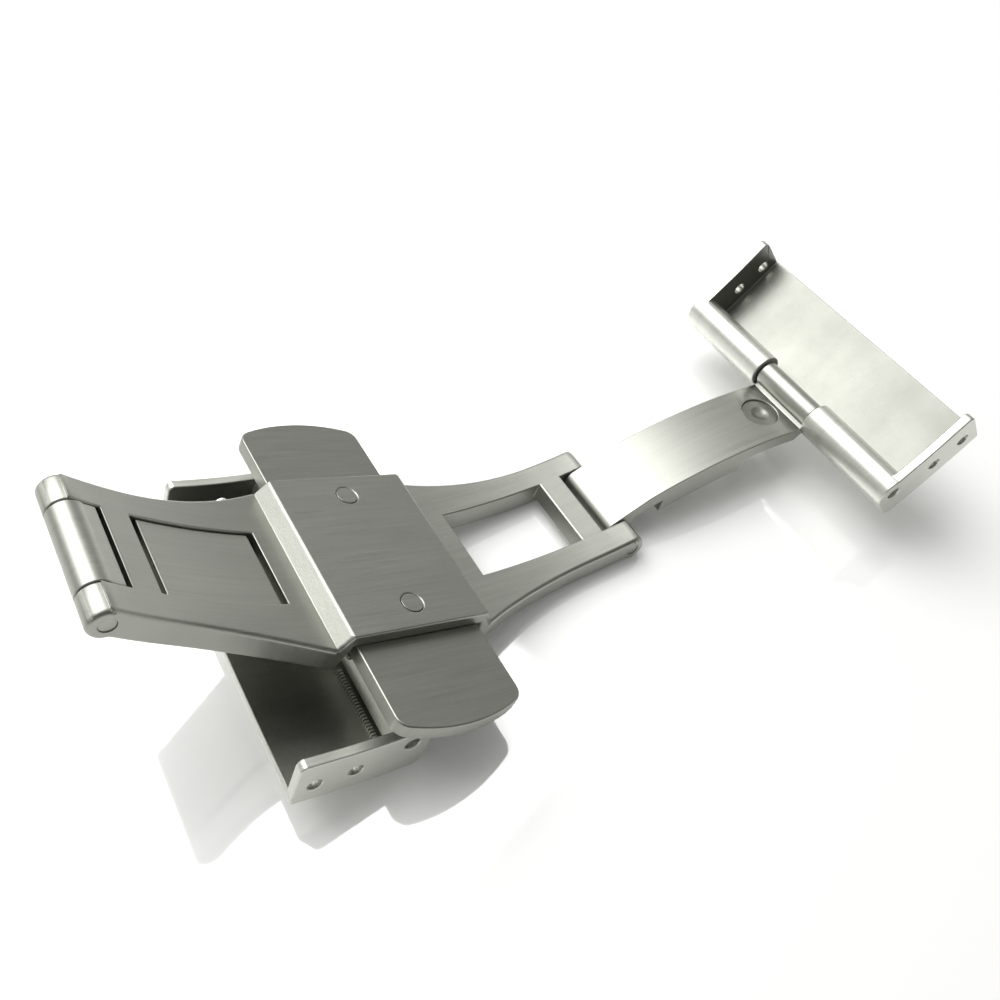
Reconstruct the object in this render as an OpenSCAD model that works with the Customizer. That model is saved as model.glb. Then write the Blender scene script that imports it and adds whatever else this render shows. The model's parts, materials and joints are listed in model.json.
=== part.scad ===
// Deployant clasp for a watch strap: a base with two folding blades, a strap cover
// hinged to each blade, and a pair of push buttons that let the blades go.
// It lies wrist side up, as it was photographed: left half closed, right half open.
// Each half is drawn on the right and closed, then mirrored or swung open.
// In that frame X runs along the strap, Z points at the wrist, and the origin is the
// middle of the wrist face of the base plate.

/* [Base] */
// Length of the raised plate along the strap
plate_l = 8.7; // [8.5:0.1:9.6]
// Width of the raised plate across the strap
plate_w = 11.5; // [11:0.1:13]
// Thickness of the raised plate
plate_t = 0.8; // [0.6:0.05:1]
// How far the side frames lie below the plate
step_h = 0.9; // [0.7:0.05:1.1]
// Length of the bevel between plate and frame
bevel_l = 0.6; // [0.4:0.05:0.9]
// Radius of the frames' wrist face
wrist_r = 34; // [31:0.5:38]
// Thickness of the frames over the folded blades
frame_t = 1; // [0.8:0.05:1.1]
// Thickness of the rails along the two sides of a frame
rail_t = 1.6; // [1.3:0.05:1.65]
// Half width of the two prongs at the end of a frame
prong_half = 4.22; // [3.9:0.05:4.6]
// Radius of the waist between plate and prongs
waist_r = 24; // [20:1:30]
// Distance from the middle to where the waist ends
waist_x = 13.5; // [12.5:0.1:14.5]
// Distance from the middle to the window of a frame
window_x = 6.35; // [6:0.05:7]
// Width of the crossbar between window and fork
crossbar_w = 1.4; // [1:0.05:1.8]
// Distance from the middle to the bottom of the fork
fork_x = 14.65; // [14.4:0.05:14.8]

/* [Blades] */
// Width of a blade
blade_w = 4.9; // [4:0.05:5.4]
// Side clearance between a blade and its fork or window
blade_gap = 0.05; // [0.03:0.01:0.1]
// Thickness of a blade
blade_t = 1; // [0.8:0.05:1.2]
// Gap between a folded blade and the frame above it
fold_gap = 0.1; // [0.06:0.02:0.2]
// How far the pad on a blade stays below the frame's face when folded
pad_drop = 0.15; // [0.1:0.05:0.7]
// Gap at the two ends of the pad in its window
pad_gap = 0.35; // [0.3:0.05:0.6]
// Distance from the middle to the pin in the fork
hinge_x = 16.15; // [16.05:0.05:16.5]
// Radius of the knuckles at the fork
hinge_knuckle_r = 0.9; // [0.8:0.05:1]
// Radius of the pin in the fork
fork_pin_r = 0.4; // [0.3:0.05:0.5]
// How far a blade swings from folded to open
blade_angle = 193.5; // [170:0.5:200]

/* [Strap covers] */
// Outer width of a cover
cover_w = 20; // [18:0.5:24]
// Thickness of the cover sheet
cover_t = 0.6; // [0.5:0.05:0.8]
// Distance from the cover pin to the open end
cover_l = 6.45; // [6:0.05:9]
// Height of the wall's rim above the cover pin
rim_h = 0.95; // [0.7:0.05:1.1]
// Depth of the cover's outer face below the cover pin
cover_depth = 2.3; // [2.1:0.05:2.6]
// Radius of the cover's outer face along the strap
cover_curve_r = 45; // [35:1:60]
// Radius of the rolled edge round the cover pin
roll_r = 1.15; // [1.05:0.01:1.18]
// Radius of the outer corner below the rolled edge
back_corner_r = 0.8; // [0.6:0.05:1]
// Radius of the corner at the open end
open_corner_r = 0.6; // [0.3:0.05:0.8]
// Radius of the wall's corner at the rim
rim_corner_r = 0.5; // [0.2:0.05:0.7]
// Side clearance between a blade and the notch in the roll
notch_gap = 0.1; // [0.05:0.05:0.6]
// Depth of the notch below the cover pin
notch_depth = 1.15; // [1.12:0.01:1.3]
// Radius of the cover pin
cover_pin_r = 0.42; // [0.38:0.02:0.55]
// How far the ends of the cover pin lie inside the walls' faces
pin_recess = 0.45; // [0.1:0.05:0.5]
// Radius of a spring bar hole
bar_hole_r = 0.4; // [0.3:0.05:0.5]
// Distance from the cover pin to the first spring bar hole
bar_hole_x = 3.1; // [2.8:0.05:3.4]
// Distance between the two spring bar holes
bar_hole_pitch = 2.25; // [1.8:0.05:2.4]
// Depth of the spring bar holes below the cover pin
bar_hole_drop = 0.7; // [0.5:0.05:0.9]
// Distance from the middle to the cover pin of a folded blade
pin_x = 1.35; // [1.35:0.05:1.6]
// Depth of the cover pin below the wrist face of the frames
pin_depth = 3; // [2.9:0.05:3.2]
// How far the open end of a folded cover hangs down
droop_angle = 7; // [0:0.5:7]
// How far a cover turns on its blade while the blade opens
cover_angle = 124.5; // [100:0.5:126]

/* [Push buttons] */
// Width of a push button
button_w = 7.84; // [7.2:0.02:7.84]
// Thickness of a push button
button_t = 0.9; // [0.8:0.05:0.9]
// Reach of a push button from the middle of the clasp
button_reach = 11.45; // [10.8:0.05:13]
// Radius of the push button's outer edge
button_edge_r = 9.5; // [7:0.1:14]
// Radius of the push button's outer corners
button_corner_r = 0.9; // [0.5:0.05:1.4]
// How far a push button travels
button_travel = 0.8; // [0.5:0.05:0.8]
// Sliding clearance of a push button above and below
slide_gap = 0.04; // [0.02:0.01:0.05]
// Thickness of the retainer plate under the push buttons
retainer_t = 0.3; // [0.2:0.05:0.35]
// Distance of a rivet from the middle
rivet_y = 4.15; // [4:0.05:4.6]
// Radius of a rivet's head in the wrist face
rivet_head_r = 0.62; // [0.5:0.02:0.7]
// Radius of a rivet's shank
rivet_r = 0.45; // [0.35:0.02:0.46]
// Outer radius of a push button spring
spring_r = 0.4; // [0.3:0.02:0.42]
// Radius of the spring wire
wire_r = 0.06; // [0.04:0.01:0.08]
// Number of turns of a spring
spring_turns = 9; // [6:1:12]

/* [Catch] */
// Distance from the middle to a catch stud
catch_x = 3.42; // [3.1:0.02:3.44]
// Radius of the stud's mushroom head
catch_head_r = 0.6; // [0.5:0.01:0.62]
// Radius of the stud's neck
catch_neck_r = 0.3; // [0.2:0.05:0.35]
// Radius of the stud's shank in the blade
catch_shank_r = 0.6; // [0.5:0.05:0.8]
// Radius of the stud's riveted tail
catch_tail_r = 1.25; // [1:0.05:1.3]

/* [Hidden] */
$fn = 64;
// Steps of the large arcs
arc_steps = 128;

// Clearance of a pin or rivet that is fixed in its hole
fixed_fit = 0.01;
// Clearance of a pin in a knuckle that turns on it
turning_fit = 0.03;
// Length that makes a cutter pass right through the clasp, and through one wall
over = 40;
past = 1;

// Wrist curve: its centre lies above the middle of the plate
frame_start = plate_l / 2 + bevel_l;
wrist_z = sqrt(wrist_r * wrist_r - frame_start * frame_start) - step_h;
function curve_z(r, x) = wrist_z - sqrt(r * r - x * x);
frame_out = wrist_r + frame_t;
rail_out = wrist_r + rail_t;
channel_room = 0.2;
channel_slope = 0.5;
channel_half = button_w / 2 + channel_room;
channel_foot = channel_half + channel_slope;
window_end = fork_x - crossbar_w;
slot_half = blade_w / 2 + blade_gap;

// Hinge in the fork, flush with the wrist face
hinge_z = curve_z(wrist_r + hinge_knuckle_r, hinge_x);
hinge = [hinge_x, hinge_z];
fork_pin_recess = 0.05;

// Folded blade, concentric with the wrist curve
blade_in = frame_out + fold_gap;
blade_out = blade_in + blade_t;
pad_in = wrist_r + pad_drop;
pin_z = curve_z(wrist_r + pin_depth, pin_x);
pin = [pin_x, pin_z];
pin_knuckle_inset = 0.3;
pin_knuckle_r = roll_r - pin_knuckle_inset;
knuckle_lap = 0.15;
blade_end_x = pin_x + pin_knuckle_r - knuckle_lap;
block_gap = 0.25;
block_x = fork_x + block_gap;
block_drop = 0.05;
block_in = wrist_r + block_drop;
neck_start = 0.9;
neck_x = window_end + neck_start;
joint_lap = 0.4;
toe_angle = 110;
toe_share = 0.9;
shoulder_share = 0.7;

// Push button levels, measured down from the wrist face
button_top = -plate_t - slide_gap;
button_bottom = button_top - button_t;
retainer_top = button_bottom - slide_gap;
retainer_bottom = retainer_top - retainer_t;
button_gap = 0.1;
retainer_room = 0.15;
stud_room = 0.2;
rivet_tail_r = rivet_r - 0.12;
rivet_foot_r = rivet_r + 0.1;
rivet_foot_t = 0.12;

// Catch: the stud leans with the wrist curve
head_t = 0.35;
head_clear = 0.14;
head_low = plate_t + head_clear + head_t;
catch_out = norm([catch_x, wrist_z + head_low]);
catch_lean = atan(catch_x / (wrist_z + head_low));
lip_gap = 0.12;
lip_top = -head_low - lip_gap;
head_room = 0.07;
hook_start = catch_neck_r + head_room;
hook_end = 1.3;
ledge_gap = 0.15;
arm_lap = 0.2;
tail_t = 0.33;
tail_drop = 0.12;
dimple_share = 0.6;
dimple_foot_share = 0.2;
dimple_depth = tail_t / 2;

// Push button spring
spring_x = 1.28;
spring_room = 0.04;
pocket_wall = 0.4;
pocket_end = plate_w / 2 - pocket_wall;
body_edge = hook_end + 2 * button_travel + button_gap;

// Distance from the cover pin to the lowest line of the cover's curved face, and the
// height of the rim, which follows the same curve, at the open end
curve_x = 1;
rim_curve_r = cover_curve_r - cover_depth - rim_h;
rim_end_v = cover_curve_r - cover_depth - sqrt(pow(rim_curve_r, 2) - pow(cover_l - curve_x, 2));

// Where the clasp rests: on the back corner of the left cover and the right fork
function turn(p, a) = [p[0] * cos(a) - p[1] * sin(a), p[0] * sin(a) + p[1] * cos(a)];
back_corner = [back_corner_r - roll_r, back_corner_r - cover_depth];
foot_right = pin + turn(back_corner, -droop_angle);
foot = [-foot_right[0], foot_right[1]];
foot_vec = foot - hinge;
tilt = atan(foot_vec[1] / foot_vec[0]) - asin((hinge_knuckle_r - back_corner_r) / norm(foot_vec));
function lying(p) = [p[0] * cos(tilt) + p[1] * sin(tilt), p[1] * cos(tilt) - p[0] * sin(tilt)];
floor_z = lying(hinge)[1] - hinge_knuckle_r;

// Ends of the clasp as it lies, from the left fork to the open end of the right cover
open_pin = hinge + turn(pin - hinge, blade_angle);
open_cover = blade_angle - cover_angle - droop_angle;
open_corner = [cover_l - open_corner_r, open_corner_r - cover_depth];
left_end = lying([-hinge_x, hinge_z])[0] - hinge_knuckle_r;
right_end = lying(open_pin + turn(open_corner, open_cover))[0] + open_corner_r;
middle_x = (left_end + right_end) / 2;
function row(p) = lying(p) - [middle_x, floor_z];
echo(tilt = tilt, hinge_left = row([-hinge_x, hinge_z]), hinge_right = row(hinge));
echo(pin_left = row([-pin_x, pin_z]), pin_right = row(open_pin), plate = row([0, 0]));

module place() {
    translate([-middle_x, 0, -floor_z]) rotate([0, tilt, 0]) children();
}

module left_half() {
    place() mirror([1, 0, 0]) children();
}

module right_half() {
    place()
        translate([hinge_x, 0, hinge_z]) rotate([0, -blade_angle, 0])
            translate([-hinge_x, 0, -hinge_z]) children();
}

module right_cover_half() {
    right_half()
        translate([pin_x, 0, pin_z]) rotate([0, cover_angle, 0])
            translate([-pin_x, 0, -pin_z]) children();
}

// Side outlines (X, Z), each carried across the clasp
module across(w) {
    rotate([90, 0, 0]) translate([0, 0, -w / 2])
        for (k = [0 : $children - 1]) linear_extrude(w) children(k);
}

module cross_bore(p, r, w) {
    translate([p[0], 0, p[1]]) rotate([90, 0, 0]) cylinder(r = r, h = w, center = true);
}

module band(r_in, r_out) {
    translate([0, wrist_z]) difference() {
        circle(r_out, $fn = arc_steps);
        circle(r_in, $fn = arc_steps);
    }
}

module plate_side() {
    polygon([
        [-plate_l / 2, 0],
        [plate_l / 2, 0],
        [frame_start, -step_h],
        [channel_foot, curve_z(rail_out, channel_foot)],
        [channel_half, -plate_t],
        [-channel_half, -plate_t],
        [-channel_foot, curve_z(rail_out, channel_foot)],
        [-frame_start, -step_h]
    ]);
}

module frame_side() {
    intersection() {
        band(wrist_r, rail_out);
        translate([channel_foot, -over / 2]) square([hinge_x - channel_foot, over]);
    }
}

// Groove between the rails, in which the folded blade lies
module blade_groove() {
    intersection() {
        band(frame_out, frame_out + over);
        translate([channel_half, -over / 2]) square([over, over]);
    }
}

module base_plan() {
    end_x = hinge_x + hinge_knuckle_r;
    difference() {
        square([2 * end_x, plate_w], center = true);
        for (sx = [-1, 1], sy = [-1, 1]) {
            scale([sx, sy]) {
                translate([waist_x, prong_half + waist_r]) circle(waist_r, $fn = arc_steps);
                translate([waist_x, prong_half]) square([over, over]);
            }
        }
    }
}

module base_frame() {
    color("silver") place() difference() {
        intersection() {
            union() {
                across(plate_w) plate_side();
                for (side = [-1, 1]) scale([side, 1, 1]) across(plate_w) {
                    frame_side();
                    translate(hinge) circle(hinge_knuckle_r);
                }
            }
            translate([0, 0, -over / 2]) linear_extrude(over) base_plan();
        }
        for (side = [-1, 1]) {
            scale([side, 1, 1]) {
                across(2 * slot_half) blade_groove();
                translate([window_x, -slot_half, -over / 2])
                    cube([window_end - window_x, 2 * slot_half, over]);
                translate([fork_x, -slot_half, -over / 2]) cube([over, 2 * slot_half, over]);
                cross_bore(hinge, fork_pin_r + fixed_fit, plate_w);
            }
            translate([0, side * rivet_y, 0]) {
                translate([0, 0, -plate_t / 2]) cylinder(r = rivet_head_r + fixed_fit, h = plate_t);
                translate([0, 0, -plate_t - past]) cylinder(r = rivet_r + fixed_fit, h = plate_t + past);
            }
        }
    }
}

module button_retainer() {
    slot_half_w = catch_head_r + stud_room;
    color("gainsboro") place() translate([0, 0, retainer_bottom]) difference() {
        linear_extrude(retainer_t) difference() {
            square([button_w, plate_w - 2 * retainer_room], center = true);
            for (side = [-1, 1]) scale([side, 1]) translate([catch_x - slot_half_w, -slot_half_w])
                square([over, 2 * slot_half_w]);
        }
        for (side = [-1, 1]) translate([0, side * rivet_y, -past])
            cylinder(r = rivet_tail_r + fixed_fit, h = retainer_t + 2 * past);
    }
}

module rivet(side) {
    color("silver") place() translate([0, side * rivet_y, 0]) {
        translate([0, 0, -plate_t / 2]) cylinder(r = rivet_head_r, h = plate_t / 2);
        translate([0, 0, retainer_top]) cylinder(r = rivet_r, h = -plate_t / 2 - retainer_top);
        translate([0, 0, retainer_bottom]) cylinder(r = rivet_tail_r, h = retainer_t);
        translate([0, 0, retainer_bottom - rivet_foot_t]) cylinder(r = rivet_foot_r, h = rivet_foot_t);
    }
}

module rivet_front() {
    rivet(-1);
}

module rivet_rear() {
    rivet(1);
}

// Plan of the tab: straight sides, rounded corners and a shallow outer curve
module button_tab() {
    edge_y = button_edge_r - button_reach;
    corner_x = button_w / 2 - button_corner_r;
    corner_reach = sqrt(pow(button_edge_r - button_corner_r, 2) - corner_x * corner_x);
    corner_y = edge_y - corner_reach;
    arc_half = corner_x * button_edge_r / (button_edge_r - button_corner_r);
    intersection() {
        union() {
            intersection() {
                translate([0, edge_y]) circle(button_edge_r, $fn = arc_steps);
                translate([-arc_half, -over]) square([2 * arc_half, over]);
            }
            for (side = [-1, 1]) translate([side * corner_x, corner_y]) circle(button_corner_r);
            translate([-button_w / 2, corner_y]) square([button_w, over]);
        }
        translate([-over / 2, -over]) square([over, over - body_edge]);
    }
}

// A push button with its arm, drawn at the front; the rear one is the same piece turned round
module button() {
    arm_out = -button_w / 2;
    arm_in = -button_gap / 2 - arm_lap;
    strip_out = catch_head_r + ledge_gap - catch_x;
    window_y = catch_head_r + button_travel + button_gap;
    slot_y = rivet_y + button_travel;
    slot_half_w = rivet_r + slide_gap / 2;
    pocket_half = spring_r + spring_room;
    difference() {
        translate([0, 0, button_bottom]) linear_extrude(button_t) {
            button_tab();
            translate([arm_out, -body_edge - fixed_fit])
                square([arm_in - arm_out, body_edge + hook_end + fixed_fit]);
        }
        translate([arm_out - past, -window_y, button_bottom - past])
            cube([strip_out - arm_out + past, window_y + hook_start, button_t + 2 * past]);
        translate([arm_out - past, -window_y, lip_top])
            cube([strip_out - arm_out + past, window_y + catch_head_r + head_room, button_t + past]);
        for (y = [rivet_y, slot_y]) translate([0, -y, button_bottom - past])
            cylinder(r = slot_half_w, h = button_t + 2 * past);
        translate([-slot_half_w, -slot_y, button_bottom - past])
            cube([2 * slot_half_w, button_travel, button_t + 2 * past]);
        translate([spring_x - pocket_half, -pocket_end, button_bottom - past])
            cube([2 * pocket_half, pocket_end - body_edge + past, button_t + 2 * past]);
    }
}

module button_front() {
    color("darkgray") place() button();
}

module button_rear() {
    color("darkgray") place() rotate([0, 0, 180]) button();
}

function coil_ring(t, r, len, turns, sides) =
    let (a = 360 * turns * t, c = [r * cos(a), len * t, r * sin(a)])
    [for (i = [0 : sides - 1]) let (b = 360 * i / sides)
        c + wire_r * [cos(a) * cos(b), sin(b), sin(a) * cos(b)]];

// A coil spring along Y as one unbroken wire
module coil(len, turns) {
    sides = 6;
    rings = turns * 12;
    r = spring_r - wire_r;
    points = [for (k = [0 : rings]) each coil_ring(k / rings, r, len, turns, sides)];
    skin = [for (k = [0 : rings - 1], i = [0 : sides - 1]) each
        let (a = k * sides + i, b = k * sides + (i + 1) % sides)
        [[a, a + sides, b + sides], [a, b + sides, b]]];
    first = [for (i = [1 : sides - 2]) [0, i, i + 1]];
    last = [for (i = [1 : sides - 2]) [rings * sides, rings * sides + i + 1, rings * sides + i]];
    polyhedron(points, concat(skin, first, last));
}

module button_spring() {
    end_room = 0.03;
    len = pocket_end - hook_end - 2 * (wire_r + end_room);
    translate([spring_x, -pocket_end + wire_r + end_room, button_bottom + button_t / 2])
        coil(len, spring_turns);
}

module button_spring_left() {
    color("dimgray") place() rotate([0, 0, 180]) button_spring();
}

module button_spring_right() {
    color("dimgray") place() button_spring();
}

// Side outlines of the folded right blade
module blade_strip() {
    intersection() {
        band(blade_in, blade_out);
        translate([blade_end_x, -over / 2]) square([neck_x - blade_end_x, over]);
    }
}

module blade_pad() {
    intersection() {
        band(pad_in, (blade_in + blade_out) / 2);
        translate([window_x + pad_gap, -over / 2])
            square([window_end - window_x - 2 * pad_gap, over]);
    }
}

module blade_heel() {
    mid_r = (blade_in + blade_out) / 2;
    heel = hinge + hinge_knuckle_r * [hinge_x, hinge_z - wrist_z] / norm([hinge_x, hinge_z - wrist_z]);
    shoulder_x = hinge_x - hinge_knuckle_r * shoulder_share;
    polygon([
        heel,
        [neck_x, curve_z(blade_out, neck_x)],
        [neck_x - joint_lap, curve_z(mid_r, neck_x - joint_lap)],
        [neck_x, curve_z(blade_in, neck_x)],
        [block_x, curve_z(blade_in, block_x)],
        [block_x, curve_z(block_in, block_x)],
        [shoulder_x, curve_z(block_in, shoulder_x)],
        hinge
    ]);
}

module blade_toe() {
    mid_r = (blade_in + blade_out) / 2;
    polygon([
        [blade_end_x + joint_lap, curve_z(mid_r, blade_end_x + joint_lap)],
        [blade_end_x, curve_z(blade_in, blade_end_x)],
        pin + toe_share * pin_knuckle_r * [cos(toe_angle), sin(toe_angle)],
        pin,
        [blade_end_x, curve_z(blade_out, blade_end_x)]
    ]);
}

// Carries a piece that stands on the folded blade at the catch
module at_catch() {
    translate([0, 0, wrist_z]) rotate([0, -catch_lean, 0]) children();
}

module blade() {
    difference() {
        across(blade_w) {
            blade_strip();
            blade_pad();
            blade_heel();
            blade_toe();
            translate(hinge) circle(hinge_knuckle_r);
            translate(pin) circle(pin_knuckle_r);
        }
        cross_bore(hinge, fork_pin_r + turning_fit, plate_w);
        cross_bore(pin, cover_pin_r + turning_fit, plate_w);
        at_catch() {
            translate([0, 0, -blade_out - past])
                cylinder(r = catch_shank_r + fixed_fit, h = blade_t + 2 * past);
            translate([0, 0, -blade_out - past])
                cylinder(r = catch_tail_r + fixed_fit, h = past + tail_drop + tail_t + fixed_fit);
        }
    }
}

module blade_left() {
    color("lightgray") left_half() blade();
}

module blade_right() {
    color("lightgray") right_half() blade();
}

module catch_stud() {
    at_catch() difference() {
        union() {
            translate([0, 0, -catch_out]) cylinder(r = catch_head_r, h = head_t);
            translate([0, 0, -blade_in - tail_t])
                cylinder(r = catch_neck_r, h = blade_in - catch_out + head_t / 2 + tail_t);
            translate([0, 0, -blade_out + tail_drop]) cylinder(r = catch_shank_r, h = blade_t - tail_drop);
            translate([0, 0, -blade_out + tail_drop]) cylinder(r = catch_tail_r, h = tail_t);
        }
        translate([0, 0, -blade_out + tail_drop - fixed_fit])
            cylinder(r1 = catch_tail_r * dimple_share, r2 = catch_tail_r * dimple_foot_share,
                h = dimple_depth);
    }
}

module catch_stud_left() {
    color("gray") left_half() catch_stud();
}

module catch_stud_right() {
    color("gray") right_half() catch_stud();
}

module fork_pin() {
    cross_bore(hinge, fork_pin_r, 2 * (prong_half - fork_pin_recess));
}

module fork_pin_left() {
    color("gray") left_half() fork_pin();
}

module fork_pin_right() {
    color("gray") place() fork_pin();
}

// Outline of a cover's wall, measured from the cover pin: U along the strap, V to the rim
module cover_outline() {
    back = -roll_r;
    translate([back + back_corner_r, -cover_depth])
        square([cover_l - back - back_corner_r - open_corner_r, cover_depth]);
    translate([back, back_corner_r - cover_depth]) square([cover_l - back, cover_depth - back_corner_r]);
    translate(back_corner) circle(back_corner_r);
    translate(open_corner) circle(open_corner_r);
}

// The wall's part above the cover pin, with a round corner at the open end
module rim_outline() {
    corner_v = rim_end_v - rim_corner_r;
    translate([0, -joint_lap]) square([cover_l - rim_corner_r, joint_lap + 2 * rim_h]);
    translate([0, -joint_lap]) square([cover_l, joint_lap + corner_v]);
    translate([cover_l - rim_corner_r, corner_v]) circle(rim_corner_r);
}

module cover_curve(depth) {
    translate([curve_x, cover_curve_r - cover_depth]) circle(cover_curve_r - depth, $fn = arc_steps);
}

module cover_wall() {
    difference() {
        union() {
            intersection() {
                cover_outline();
                cover_curve(0);
            }
            rim_outline();
        }
        cover_curve(cover_depth + rim_h);
    }
    circle(roll_r);
}

module cover_sheet() {
    difference() {
        intersection() {
            cover_outline();
            cover_curve(0);
            translate([-over / 2, -over]) square([over, over]);
        }
        intersection() {
            cover_curve(cover_t);
            translate([cover_t - roll_r, -over / 2]) square([over, over]);
        }
    }
    circle(roll_r);
}

// The folded right cover
module cover() {
    wall_y = (cover_w - cover_t) / 2;
    notch_w = blade_w + 2 * notch_gap;
    translate([pin_x, 0, pin_z]) rotate([0, droop_angle, 0]) difference() {
        union() {
            across(cover_w) cover_sheet();
            for (side = [-1, 1]) translate([0, side * wall_y, 0]) across(cover_t) cover_wall();
        }
        translate([-over / 2, -notch_w / 2, -notch_depth]) cube([over / 2 + roll_r, notch_w, over]);
        cross_bore([0, 0], cover_pin_r + fixed_fit, cover_w + past);
        for (k = [0, 1])
            cross_bore([bar_hole_x + k * bar_hole_pitch, -bar_hole_drop], bar_hole_r, cover_w + past);
    }
}

module cover_left() {
    color("lightgray") left_half() cover();
}

module cover_right() {
    color("lightgray") right_cover_half() cover();
}

module cover_pin() {
    cross_bore(pin, cover_pin_r, cover_w - 2 * pin_recess);
}

module cover_pin_left() {
    color("gray") left_half() cover_pin();
}

module cover_pin_right() {
    color("gray") right_half() cover_pin();
}

base_frame();
button_retainer();
rivet_front();
rivet_rear();
button_front();
button_rear();
button_spring_left();
button_spring_right();
blade_left();
blade_right();
catch_stud_left();
catch_stud_right();
fork_pin_left();
fork_pin_right();
cover_left();
cover_right();
cover_pin_left();
cover_pin_right();
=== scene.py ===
import json
import math

import bmesh
import bpy
from mathutils import Matrix, Vector


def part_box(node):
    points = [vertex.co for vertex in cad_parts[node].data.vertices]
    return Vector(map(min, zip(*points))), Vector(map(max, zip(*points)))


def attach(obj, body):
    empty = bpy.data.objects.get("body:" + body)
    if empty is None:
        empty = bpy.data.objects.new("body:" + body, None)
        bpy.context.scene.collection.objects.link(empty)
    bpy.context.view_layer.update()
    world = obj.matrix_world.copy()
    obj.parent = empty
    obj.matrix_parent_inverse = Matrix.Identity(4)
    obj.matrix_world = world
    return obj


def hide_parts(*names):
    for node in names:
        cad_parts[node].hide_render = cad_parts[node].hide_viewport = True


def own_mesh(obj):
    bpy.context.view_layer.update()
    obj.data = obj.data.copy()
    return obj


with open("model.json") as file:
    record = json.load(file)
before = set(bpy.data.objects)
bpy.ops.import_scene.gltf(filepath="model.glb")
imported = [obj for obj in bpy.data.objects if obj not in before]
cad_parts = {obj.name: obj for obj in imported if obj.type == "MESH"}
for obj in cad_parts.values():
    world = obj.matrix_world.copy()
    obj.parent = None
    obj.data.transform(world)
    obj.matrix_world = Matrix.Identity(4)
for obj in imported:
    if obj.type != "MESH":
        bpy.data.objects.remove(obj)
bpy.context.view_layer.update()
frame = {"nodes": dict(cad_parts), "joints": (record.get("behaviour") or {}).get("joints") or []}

# Camera: a short lens close to the clasp, on its wrist side and a little to the left.
# Its place was fitted to the photographed corners and hole centres of the clasp.
MM = 0.001
scene = bpy.context.scene
camera = bpy.data.objects.new("camera", bpy.data.cameras.new("camera"))
scene.collection.objects.link(camera)
scene.camera = camera
camera.data.lens = 34.254
camera.data.sensor_width = 36
camera.data.clip_start = 1 * MM     # The clasp is nearer than the usual clipping distance.
camera_place = Vector((-24.294, -29.139, 48.351)) * MM
look = Vector((0.37493, 0.52099, -0.76681)).normalized()
camera_up = Vector((0.34526, 0.68917, 0.63705))
camera_side = look.cross(camera_up).normalized()
camera_up = camera_side.cross(look)
camera.matrix_world = Matrix.Translation(camera_place) @ Matrix(
    (camera_side, camera_up, -look)).transposed().to_4x4()

# Studio: a white table in a light tent. The tent glows overhead and behind the clasp, its
# walls are dimmer towards the camera, and one soft lamp shines through its bright part.
scene.view_settings.view_transform = "Standard"


def linear(hex_colour):
    """The linear colour of an sRGB hex value."""
    def channel(start):
        value = int(hex_colour[start:start + 2], 16) / 255
        return value / 12.92 if value <= 0.04045 else ((value + 0.055) / 1.055) ** 2.4
    return (channel(1), channel(3), channel(5), 1)


def add(tree, kind, inputs=None, **settings):
    """Adds a node. Inputs get a link or a value, settings are properties or inputs' values."""
    node = tree.nodes.new(kind)
    for key, value in settings.items():
        if hasattr(node, key):
            setattr(node, key, value)
        else:
            node.inputs[key.replace("_", " ")].default_value = value
    for key, source in (inputs or {}).items():
        if isinstance(source, bpy.types.NodeSocket):
            tree.links.new(source, node.inputs[key])
        else:
            node.inputs[key].default_value = source
    return node


lamp_way = Vector((-0.17, 0.5, 0.85)).normalized()
glow_falloff = 4.0
glow_strength = 0.6
front_wall_light = 0.15
back_wall_light = 0.42
world = bpy.data.worlds.new("studio_walls")
scene.world = world
world.use_nodes = True
tree = world.node_tree
tree.nodes.clear()
way = add(tree, "ShaderNodeTexCoord").outputs["Generated"]
near_lamp = add(tree, "ShaderNodeVectorMath", {0: way, 1: lamp_way}, operation="DOT_PRODUCT")
glow = add(tree, "ShaderNodeMath", {0: near_lamp.outputs["Value"], 1: 0.0}, operation="MAXIMUM")
glow = add(tree, "ShaderNodeMath", {0: glow.outputs[0], 1: glow_falloff}, operation="POWER")
axes = add(tree, "ShaderNodeSeparateXYZ", {0: way}).outputs
# The walls brighten from front to back within a narrow band of directions beside the clasp.
walls = add(tree, "ShaderNodeMapRange", {"Value": axes["Y"]},
            From_Min=-0.25, From_Max=0.12, To_Min=front_wall_light, To_Max=back_wall_light)
light = add(tree, "ShaderNodeMath", {0: glow.outputs[0], 1: glow_strength, 2: walls.outputs[0]},
            operation="MULTIPLY_ADD")
sky = add(tree, "ShaderNodeBackground", {"Strength": light.outputs[0]}, Color=linear("#fffffc"))
add(tree, "ShaderNodeOutputWorld", {"Surface": sky.outputs[0]})

lamp = bpy.data.objects.new("softbox", bpy.data.lights.new("softbox", "AREA"))
scene.collection.objects.link(lamp)
lamp_distance = 400 * MM
lamp.location = lamp_way * lamp_distance
lamp.rotation_euler = lamp_way.to_track_quat("Z", "Y").to_euler()
lamp.data.shape = "RECTANGLE"
lamp.data.size = 400 * MM
lamp.data.size_y = 340 * MM
lamp_radiance = 3.45
lamp.data.energy = lamp_radiance * math.pi * lamp.data.size * lamp.data.size_y

# White board under a thin coat of lacquer: matt white, with a faint mirror image of the clasp.
lacquer_share = 0.15
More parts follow.
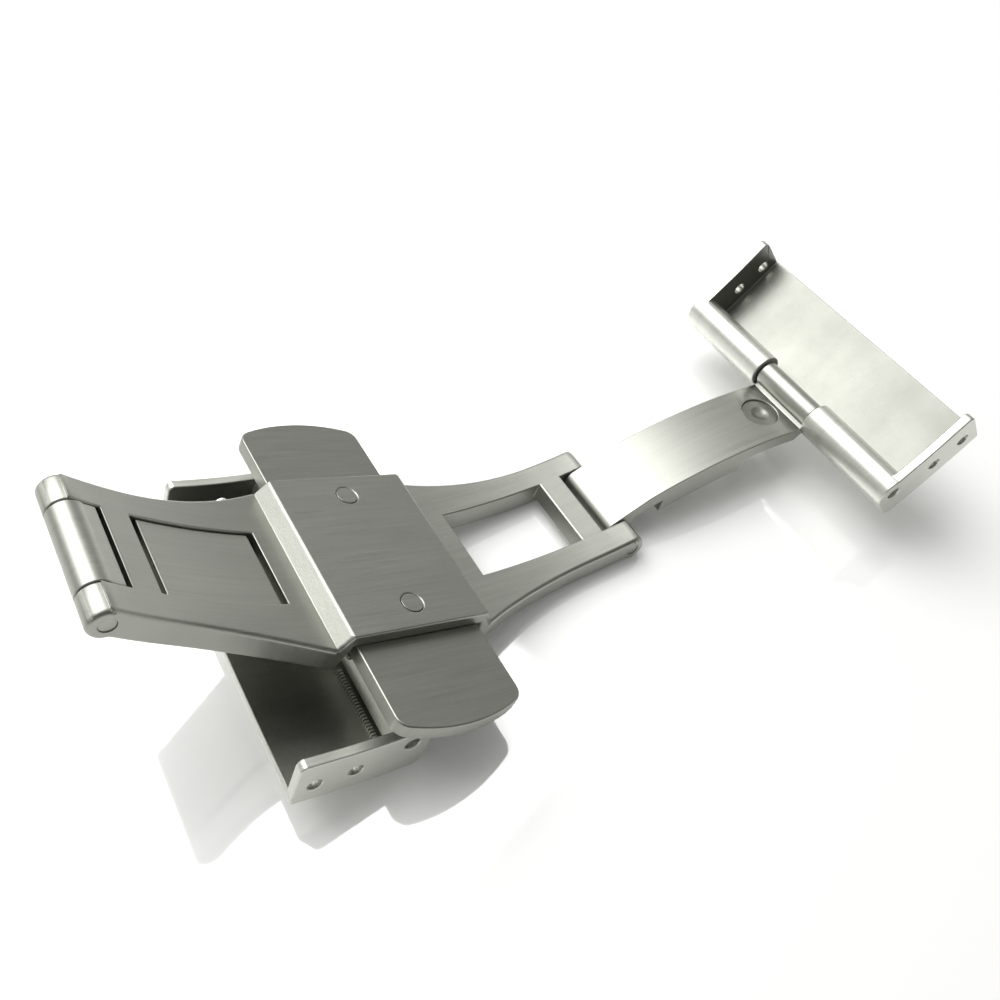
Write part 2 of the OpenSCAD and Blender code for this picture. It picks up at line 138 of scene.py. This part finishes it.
# The board is lifted a little where the camera or the steel sees it, as white paper would be.
seen_lift = 0.07
table_half = 3000 * MM
table_mesh = bpy.data.meshes.new("table")
table_mesh.from_pydata([(-table_half, -table_half, 0), (table_half, -table_half, 0),
                        (table_half, table_half, 0), (-table_half, table_half, 0)],
                       [], [(0, 1, 2, 3)])
table = bpy.data.objects.new("table", table_mesh)
scene.collection.objects.link(table)
white = bpy.data.materials.new("white_lacquered_board")
white.use_nodes = True
tree = white.node_tree
tree.nodes.clear()
board = add(tree, "ShaderNodeBsdfDiffuse", Color=linear("#fefefd"))
lacquer = add(tree, "ShaderNodeBsdfGlossy", Color=linear("#ffffff"), Roughness=0.06)
painted = add(tree, "ShaderNodeMixShader", {1: board.outputs[0], 2: lacquer.outputs[0]},
              Fac=lacquer_share)
ray = add(tree, "ShaderNodeLightPath").outputs
seen = add(tree, "ShaderNodeMath", {0: ray["Is Camera Ray"], 1: ray["Is Glossy Ray"]},
           operation="MAXIMUM")
seen = add(tree, "ShaderNodeMath", {0: seen.outputs[0], 1: ray["Is Transmission Ray"]},
           operation="MAXIMUM")
lift = add(tree, "ShaderNodeMath", {0: seen.outputs[0], 1: seen_lift}, operation="MULTIPLY")
shine = add(tree, "ShaderNodeEmission", {"Strength": lift.outputs[0]}, Color=linear("#ffffff"))
total = add(tree, "ShaderNodeAddShader", {0: painted.outputs[0], 1: shine.outputs[0]})
add(tree, "ShaderNodeOutputMaterial", {"Surface": total.outputs[0]})
table_mesh.materials.append(white)

# Base frame: plate, bevels, side frames and forks in one, pressed and milled from 1 mm
# stainless steel strip. Its wrist side is brushed along the strap, then the bevels are
# blasted and the outer edges rounded so that they don't cut the wrist.
WELD = 0.02 * MM              # Corners nearer than this are one corner.
FLAT = math.radians(0.4)      # Triangles that turn less than this are one face.
SHARP = math.radians(24)      # Edges that turn more than this are rounded.
FACE_PART = 0.45              # A rounding takes at most this part of a face's width.


def finished_copy(node, name, cuts=()):
    """A copy of a CAD node, its triangles joined to whole faces, smooth where it curves.

    Each cut, a point and a direction, keeps a straight seam through faces with holes in them.
    """
    mesh = frame["nodes"][node].data.copy()
    mesh.name = name
    mesh.materials.clear()
    work = bmesh.new()
    work.from_mesh(mesh)
    bmesh.ops.remove_doubles(work, verts=work.verts, dist=WELD)
    for point, way in cuts:
        whole = work.verts[:] + work.edges[:] + work.faces[:]
        halved = bmesh.ops.bisect_plane(work, geom=whole, plane_co=point, plane_no=way,
                                        dist=WELD / 4)
        for part in halved["geom_cut"]:
            if isinstance(part, bmesh.types.BMEdge):
                part.seam = True
    bmesh.ops.dissolve_limit(work, angle_limit=FLAT, verts=work.verts, edges=work.edges,
                             delimit={"SEAM"})
    for face in work.faces:
        face.smooth = True
    work.to_mesh(mesh)
    work.free()
    piece = bpy.data.objects.new(name, mesh)
    scene.collection.objects.link(piece)
    return piece


def round_edges(piece, radius, share=None):
    """Rounds sharp edges. Share gives an edge's part of the radius, and tight ones get less."""
    mesh = piece.data
    work = bmesh.new()
    work.from_mesh(mesh)
    layer = work.edges.layers.float.new("bevel_weight_edge")
    for edge in work.edges:
        if len(edge.link_faces) == 2 and edge.calc_face_angle(0) > SHARP:
            room = min(face.calc_area() for face in edge.link_faces) / edge.calc_length()
            edge[layer] = min(share(edge) if share else 1, FACE_PART * room / radius)
    work.to_mesh(mesh)
    work.free()
    bevel = piece.modifiers.new("rounded_edges", "BEVEL")
    bevel.limit_method = "WEIGHT"
    bevel.width = radius
    bevel.segments = 4
    bevel.use_clamp_overlap = False
    smooth = piece.modifiers.new("flat_faces_stay_flat", "WEIGHTED_NORMAL")
    smooth.mode = "FACE_AREA"


def brushed_steel(name, tone, roughness, groove, depth, along=8.0, fleck=0.0, stain=0.0):
    """Steel brushed along the strap, with grooves, fainter wide bands and a fine grain.

    Groove is how far apart the grooves are, depth how deep and along how long, all in mm.
    Fleck adds more of the grain, and stain lays soft lighter and darker clouds over the steel.
    """
    usual = {"From_Min": 0.3, "From_Max": 0.7}      # Most of a noise's values lie between.
    groove_shade = (0.91, 1.08)
    band_shade = (0.97, 1.02)
    roughness_change = 0.06
    grains_per_metre = 9000.0
    grain_share = 0.3 + fleck
    cloud = 3 * MM
    material = bpy.data.materials.new(name)
    material.use_nodes = True
    tree = material.node_tree
    tree.nodes.clear()
    place = add(tree, "ShaderNodeTexCoord").outputs["Object"]
    fine = 1 / (groove * MM)
    long = 1 / (along * MM)
    stretched = add(tree, "ShaderNodeMapping", {"Vector": place},
                    Scale=(long, fine, long)).outputs[0]
    grooves = add(tree, "ShaderNodeTexNoise", {"Vector": stretched},
                  Scale=1.0, Detail=3.0, Roughness=0.6)
    wide = add(tree, "ShaderNodeMapping", {"Vector": stretched}, Scale=(0.6, 0.12, 0.6)).outputs[0]
    bands = add(tree, "ShaderNodeTexNoise", {"Vector": wide}, Scale=1.0, Detail=2.0)
    grain = add(tree, "ShaderNodeTexNoise", {"Vector": place}, Scale=grains_per_metre, Detail=2.0)
    mixed = add(tree, "ShaderNodeMix", {"A": grooves.outputs[0], "B": grain.outputs[0]},
                Factor=grain_share)
    ramp = add(tree, "ShaderNodeMapRange", {"Value": mixed.outputs[0]},
               **usual, To_Min=groove_shade[0], To_Max=groove_shade[1])
    shade = add(tree, "ShaderNodeMapRange", {"Value": bands.outputs[0]},
                **usual, To_Min=band_shade[0], To_Max=band_shade[1])
    shade = add(tree, "ShaderNodeMath", {0: ramp.outputs[0], 1: shade.outputs[0]},
                operation="MULTIPLY")
    if stain:
        clouds = add(tree, "ShaderNodeTexNoise", {"Vector": place}, Scale=1 / cloud, Detail=4.0)
        clouds = add(tree, "ShaderNodeMapRange", {"Value": clouds.outputs[0]},
                     **usual, To_Min=1 - stain, To_Max=1 + stain)
        shade = add(tree, "ShaderNodeMath", {0: shade.outputs[0], 1: clouds.outputs[0]},
                    operation="MULTIPLY")
    colour = add(tree, "ShaderNodeVectorMath", {0: linear(tone)[:3], "Scale": shade.outputs[0]},
                 operation="SCALE")
    rough = add(tree, "ShaderNodeMapRange", {"Value": mixed.outputs[0]},
                **usual, To_Min=roughness - roughness_change, To_Max=roughness + roughness_change)
    bump = add(tree, "ShaderNodeBump", {"Height": mixed.outputs[0]},
               Strength=1.0, Distance=depth * MM)
    steel = add(tree, "ShaderNodeBsdfPrincipled",
                {"Base Color": colour.outputs[0], "Roughness": rough.outputs[0],
                 "Normal": bump.outputs[0]}, Metallic=1.0)
    add(tree, "ShaderNodeOutputMaterial", {"Surface": steel.outputs[0]})
    return material


def dress(piece, node, body, slot, *materials):
    """Hangs a finished piece on its body in place of its CAD node."""
    for material in materials:
        piece.data.materials.append(material)
    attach(piece, body)
    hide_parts(node)


# Brushed stainless steel: a soft sheen across short strokes. The real grooves are about
# 0.02 mm apart, and they are drawn at 0.1 mm so that they show.
brushed_plate_steel = brushed_steel("brushed_base_steel", "#a8a9a2", roughness=0.38,
                                    groove=0.10, depth=0.004, along=4.0)
# Blasting scatters the light and speckles the bevel; its paler colour is a painted highlight.
blasted_bevel_steel = brushed_steel("blasted_bevel_steel", "#c2c3bc", roughness=0.55,
                                    groove=0.14, depth=0.02, along=0.14, fleck=0.2)

pin_places = {joint["name"].replace("_hinge", ""): Vector(joint["pos_m"])
              for joint in frame["joints"] if joint["type"] == "hinge"}
left_fork, right_fork = pin_places["blade_left"], pin_places["blade_right"]
base_middle = (left_fork + right_fork) / 2
strap_way = (right_fork - left_fork).normalized()
wrist_way = Vector((-strap_way.z, 0, strap_way.x))
plate_half = 4.4 * MM
window_edge = 2.6 * MM
pin_room = 0.65 * MM
rivet_room = 1.2 * MM
rivet_places = []
for side in ("front", "rear"):
    low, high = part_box("rivet_" + side)
    rivet_places.append((Vector(low) + Vector(high)) / 2)
edge_share = {"pin_hole": 0.1, "rivet_hole": 0.12, "plate": 0.5, "window": 0.35, "frame": 1}


def base_rounding(edge):
    """The side frames' outer edges are well rounded, the plate's less, the holes hardly."""
    middle = (edge.verts[0].co + edge.verts[1].co) / 2
    flat = Vector((middle.x, 0, middle.z))
    if min((flat - left_fork).length, (flat - right_fork).length) < pin_room:
        return edge_share["pin_hole"]
    if min((middle - place).length for place in rivet_places) < rivet_room:
        return edge_share["rivet_hole"]
    if abs((middle - base_middle).dot(strap_way)) < plate_half:
        return edge_share["plate"]
    return edge_share["window" if abs(middle.y) < window_edge else "frame"]


base = finished_copy("base_frame", "base_plate_and_forks",
                     cuts=[(place, strap_way) for place in (base_middle, left_fork, right_fork)])
round_edges(base, radius=0.26 * MM, share=base_rounding)
# The bevels are the faces between the plate's top and the frames that lean along the strap; their
# paler steel is a painted highlight.
for face in base.data.polygons:
    along, up = abs(face.normal.dot(strap_way)), face.normal.dot(wrist_way)
    if along > 0.75 and 0.4 < up < 0.65:
        face.material_index = 1
dress(base, "base_frame", "base", "base_steel", brushed_plate_steel, blasted_bevel_steel)

# Rivets: two small turned steel rivets that hold the retainer under the plate. Their
# heads are set flush in the wrist face and brushed over with it, so only a ring shows.
for side in ("front", "rear"):
    rivet = finished_copy("rivet_" + side, "plate_rivet_" + side)
    round_edges(rivet, radius=0.03 * MM)
    dress(rivet, "rivet_" + side, "base", "rivet_steel", brushed_plate_steel)

# Retainer: a strip of rolled sheet, slotted for the two studs. The rivets hold it under
# the plate, where it keeps the push buttons in their channel.
# Rolled steel is duller than brushed steel, with long faint streaks from the mill.
rolled_sheet = brushed_steel("rolled_sheet_steel", "#8e8f88", roughness=0.45,
                             groove=0.14, depth=0.003)
retainer = finished_copy("button_retainer", "retainer_strip")
round_edges(retainer, radius=0.04 * MM)
dress(retainer, "button_retainer", "base", "retainer_steel", rolled_sheet)

# Push buttons: two tabs milled from 0.9 mm steel, brushed on the face and polished on the
# chamfered rim. Each slides under the plate on its arm, and two springs push them apart.
# Their brushing is the plate's, and shines a little more because fingers rub it.
brushed_button_steel = brushed_steel("brushed_button_steel", "#a1a29b", roughness=0.36,
                                     groove=0.10, depth=0.004, along=4.0)
plate_edge = 5.4 * MM
for side in ("front", "rear"):
    seam = Vector((0, plate_edge if side == "rear" else -plate_edge, 0))
    button = finished_copy("button_" + side, "push_button_" + side,
                           cuts=[(seam, Vector((0, 1, 0)))])
    round_edges(button, radius=0.1 * MM)
    dress(button, "button_" + side, "button_" + side, "button_steel", brushed_button_steel)

# Button springs: nine turns of 0.12 mm drawn wire, between the pocket of one button and the
# arm of the other. Each is two halves, one wound from each end, and both stay on the base.
def socket(tree, name, kind):
    """Adds a named input to a Geometry Nodes tree."""
    tree.interface.new_socket(name, in_out="INPUT", socket_type="NodeSocket" + kind)


def grown(tree, name, **inputs):
    """A plain object with the mesh that a Geometry Nodes tree makes from the given inputs."""
    seed = bpy.data.objects.new(name, bpy.data.meshes.new(name + "_start"))
    scene.collection.objects.link(seed)
    modifier = seed.modifiers.new("shape", "NODES")
    modifier.node_group = tree
    for item in tree.interface.items_tree:
        if item.item_type == "SOCKET" and item.in_out == "INPUT" and item.name in inputs:
            modifier[item.identifier] = inputs[item.name]
    bpy.context.view_layer.update()
    done = seed.evaluated_get(bpy.context.evaluated_depsgraph_get())
    mesh = bpy.data.meshes.new_from_object(done)
    bpy.data.objects.remove(seed)
    piece = bpy.data.objects.new(name, mesh)
    scene.collection.objects.link(piece)
    return piece


# Wire drawn through a die: dark and fairly bright, with fine lines.
drawn_wire = brushed_steel("drawn_spring_wire", "#8e8f88", roughness=0.32,
                           groove=0.05, depth=0.002)
coil = bpy.data.node_groups.new("spring_coil", "GeometryNodeTree")
coil.interface.new_socket("Spring", in_out="OUTPUT", socket_type="NodeSocketGeometry")
socket(coil, "Middle", "Vector")
for name in ("Length", "Coil_Radius", "Wire_Radius", "Turns", "Start"):
    socket(coil, name, "Float")
socket(coil, "Wire", "Material")
given = add(coil, "NodeGroupInput").outputs
spiral = add(coil, "GeometryNodeCurveSpiral",
             {"Rotations": given["Turns"], "Start Radius": given["Coil_Radius"],
              "End Radius": given["Coil_Radius"], "Height": given["Length"]}, Resolution=24)
wire = add(coil, "GeometryNodeCurvePrimitiveCircle", {"Radius": given["Wire_Radius"]},
           Resolution=10)
wound = add(coil, "GeometryNodeCurveToMesh",
            {"Curve": spiral.outputs[0], "Profile Curve": wire.outputs[0], "Fill Caps": True})
half = add(coil, "ShaderNodeMath", {0: given["Length"], 1: -0.5}, operation="MULTIPLY")
centred = add(coil, "ShaderNodeCombineXYZ", {"Z": half.outputs[0]})
turned = add(coil, "ShaderNodeCombineXYZ", {"Z": given["Start"]})
wound = add(coil, "GeometryNodeTransform",
            {"Geometry": wound.outputs[0], "Rotation": turned.outputs[0],
             "Translation": centred.outputs[0]})
laid = add(coil, "GeometryNodeTransform",
           {"Geometry": wound.outputs[0], "Rotation": (math.radians(-90), 0, 0),
            "Translation": given["Middle"]})
real = add(coil, "GeometryNodeRealizeInstances", {"Geometry": laid.outputs[0]})
painted = add(coil, "GeometryNodeSetMaterial",
              {"Geometry": real.outputs[0], "Material": given["Wire"]})
add(coil, "NodeGroupOutput", {0: painted.outputs[0]})

wire_radius = 0.06 * MM
turns_in_half = 4.5
# Each half starts on its own side of the wire, so that the two meet in the middle.
for side, outward, holder, presser in (("left", 1, "rear", "front"),
                                       ("right", -1, "front", "rear")):
    low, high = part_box("button_spring_" + side)
    middle = (Vector(low) + Vector(high)) / 2
    reach = high[1] - middle.y
    length = reach - wire_radius
    for end, way, button in (("outer", outward, holder), ("inner", -outward, presser)):
        spring = grown(coil, "coil_spring_" + side + "_" + end,
                       Middle=middle + Vector((0, way * length / 2, 0)), Length=length,
                       Coil_Radius=(high[0] - low[0]) / 2 - wire_radius, Wire_Radius=wire_radius,
                       Turns=turns_in_half, Start=math.pi if way > 0 else 0.0, Wire=drawn_wire)
        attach(spring, "base")
        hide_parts("button_spring_" + side)
        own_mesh(spring)

# Blades: two curved strips of 1 mm steel with a raised pad that fills the window of the
# base when folded. They are brushed along their length and turn on pins at both ends.
# The strokes are long and even, so the blades look smoother and paler than the base.
brushed_blade_steel = brushed_steel("brushed_blade_steel", "#adaea7", roughness=0.39,
                                    groove=0.10, depth=0.004)
for side in ("left", "right"):
    blade = finished_copy("blade_" + side, "folding_blade_" + side)
    round_edges(blade, radius=0.07 * MM)
    dress(blade, "blade_" + side, "blade_" + side, "blade_steel", brushed_blade_steel)

# Catch studs: turned mushroom studs, riveted into the blades in a shallow round seat. A
# ledge inside each push button holds one by its head when the blade is folded.
# Turned steel shines a little more than the brushed blade, and its fine cuts look darker.
turned_stud_steel = brushed_steel("turned_stud_steel", "#9a9b94", roughness=0.34,
                                  groove=0.08, depth=0.003)
for side in ("left", "right"):
    stud = finished_copy("catch_stud_" + side, "mushroom_stud_" + side)
    round_edges(stud, radius=0.05 * MM)
    dress(stud, "catch_stud_" + side, "blade_" + side, "stud_steel", turned_stud_steel)

# Pins: straight lengths of drawn steel rod, pressed into the forks and the cover walls.
# The fork pins are ground flush and brushed over; the cover pins end a little inside.
# Drawn rod is smooth and rather dark, with a sharp highlight.
drawn_pin_steel = brushed_steel("drawn_pin_steel", "#8e8f88", roughness=0.3,
                                groove=0.08, depth=0.002)
for node, body in (("fork_pin_left", "base"), ("fork_pin_right", "base"),
                   ("cover_pin_left", "blade_left"), ("cover_pin_right", "blade_right")):
    pin = finished_copy(node, node.replace("_pin", "_hinge_pin"))
    round_edges(pin, radius=0.03 * MM)
    dress(pin, node, body, "pin_steel", brushed_plate_steel if body == "base" else drawn_pin_steel)

# Strap covers: trays of 0.6 mm sheet, stamped and folded, with an edge rolled round the
# cover pin. They are satin and painted pale outside, a painted highlight; inside, the mill
# skin is faintly stained, and its darker tone on floor and walls is painted shade.
# Satin sheet is even, with hardly a groove to be seen. Its colour is painted paler than the other
# steel: a painted highlight on the outer faces and rolled edges.
satin_cover_steel = brushed_steel("satin_cover_steel", "#d8d9d2", roughness=0.42,
                                  groove=0.14, depth=0.003)
# The inside's darker tone is painted shade. Clouds of about 3 mm on it are what is left of the
# mill's oil and scale.
stained_tray_steel = brushed_steel("stained_tray_steel", "#9b9c95", roughness=0.4,
                                   groove=0.14, depth=0.003, fleck=0.4, stain=0.09)
tray_lean = {"left": math.radians(16.5), "right": math.radians(38.5)}
roll_radius = 1.15 * MM
wall_start = 9 * MM
facing = 0.8
for side, out in (("left", -1), ("right", 1)):
    lean = tray_lean[side]
    rim_way = Vector((-out * math.sin(lean), 0, math.cos(lean)))
    cover = finished_copy("cover_" + side, "strap_cover_" + side)
    round_edges(cover, radius=0.09 * MM)
    # The tray's floor and the inward faces of its walls get the darker steel: painted shade inside
    # the tray.
    for face in cover.data.polygons:
        height = (face.center - pin_places["cover_" + side]).dot(rim_way)
        inward = -face.normal.y if face.center.y > 0 else face.normal.y
        on_floor = face.normal.dot(rim_way) > facing and height < -roll_radius / 2
        on_wall = abs(face.center.y) > wall_start and inward > facing
        if on_floor or on_wall:
            face.material_index = 1
    dress(cover, "cover_" + side, "cover_" + side, "cover_sheet_steel",
          satin_cover_steel, stained_tray_steel)

# Roll seams: in the corner where each rolled edge closes on the tray's floor, the folding
# tool leaves a strip of fine ribs. They are about 0.1 mm apart, drawn at 0.2 mm to show.
seam = bpy.data.node_groups.new("ribbed_roll_seam", "GeometryNodeTree")
seam.interface.new_socket("Ribs", in_out="OUTPUT", socket_type="NodeSocketGeometry")
for name in ("Pin", "Seat", "Rib_Size"):
    socket(seam, name, "Vector")
for name in ("Lean", "Inner_End", "Outer_End", "Pitch"):
    socket(seam, name, "Float")
socket(seam, "Steel", "Material")
given = add(seam, "NodeGroupInput").outputs
rows = add(seam, "GeometryNodeJoinGeometry")
for sign in (-1, 1):
    ends = []
    for name in ("Inner_End", "Outer_End"):
        end = add(seam, "ShaderNodeMath", {0: given[name], 1: sign}, operation="MULTIPLY")
        ends.append(add(seam, "ShaderNodeCombineXYZ", {"Y": end.outputs[0]}).outputs[0])
    row = add(seam, "GeometryNodeCurvePrimitiveLine", {"Start": ends[0], "End": ends[1]})
    seam.links.new(row.outputs[0], rows.inputs[0])
places = add(seam, "GeometryNodeResampleCurve",
             {"Curve": rows.outputs[0], "Length": given["Pitch"]}, mode="LENGTH")
rib = add(seam, "GeometryNodeMeshCube", {"Size": given["Rib_Size"]})
ribs = add(seam, "GeometryNodeInstanceOnPoints",
           {"Points": places.outputs[0], "Instance": rib.outputs[0]})
lean = add(seam, "ShaderNodeCombineXYZ", {"Y": given["Lean"]})
ribs = add(seam, "GeometryNodeTransform",
           {"Geometry": ribs.outputs[0], "Translation": given["Seat"]})
ribs = add(seam, "GeometryNodeTransform",
           {"Geometry": ribs.outputs[0], "Rotation": lean.outputs[0], "Translation": given["Pin"]})
real = add(seam, "GeometryNodeRealizeInstances", {"Geometry": ribs.outputs[0]})
painted = add(seam, "GeometryNodeSetMaterial",
              {"Geometry": real.outputs[0], "Material": given["Steel"]})
add(seam, "NodeGroupOutput", {0: painted.outputs[0]})

seam_along = 0.93 * MM
seam_drop = 1.58 * MM
seam_start = 3.7 * MM
seam_end = 8.2 * MM
rib_pitch = 0.2 * MM
rib_size = (0.27 * MM, 0.11 * MM, 0.26 * MM)
for side, out in (("left", -1), ("right", 1)):
    ribs = grown(seam, "roll_seam_" + side, Pin=pin_places["cover_" + side],
                 Seat=(out * seam_along, 0, -seam_drop), Lean=-out * tray_lean[side],
                 Inner_End=seam_start, Outer_End=seam_end, Pitch=rib_pitch,
                 Rib_Size=rib_size, Steel=satin_cover_steel)
    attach(ribs, "cover_" + side)
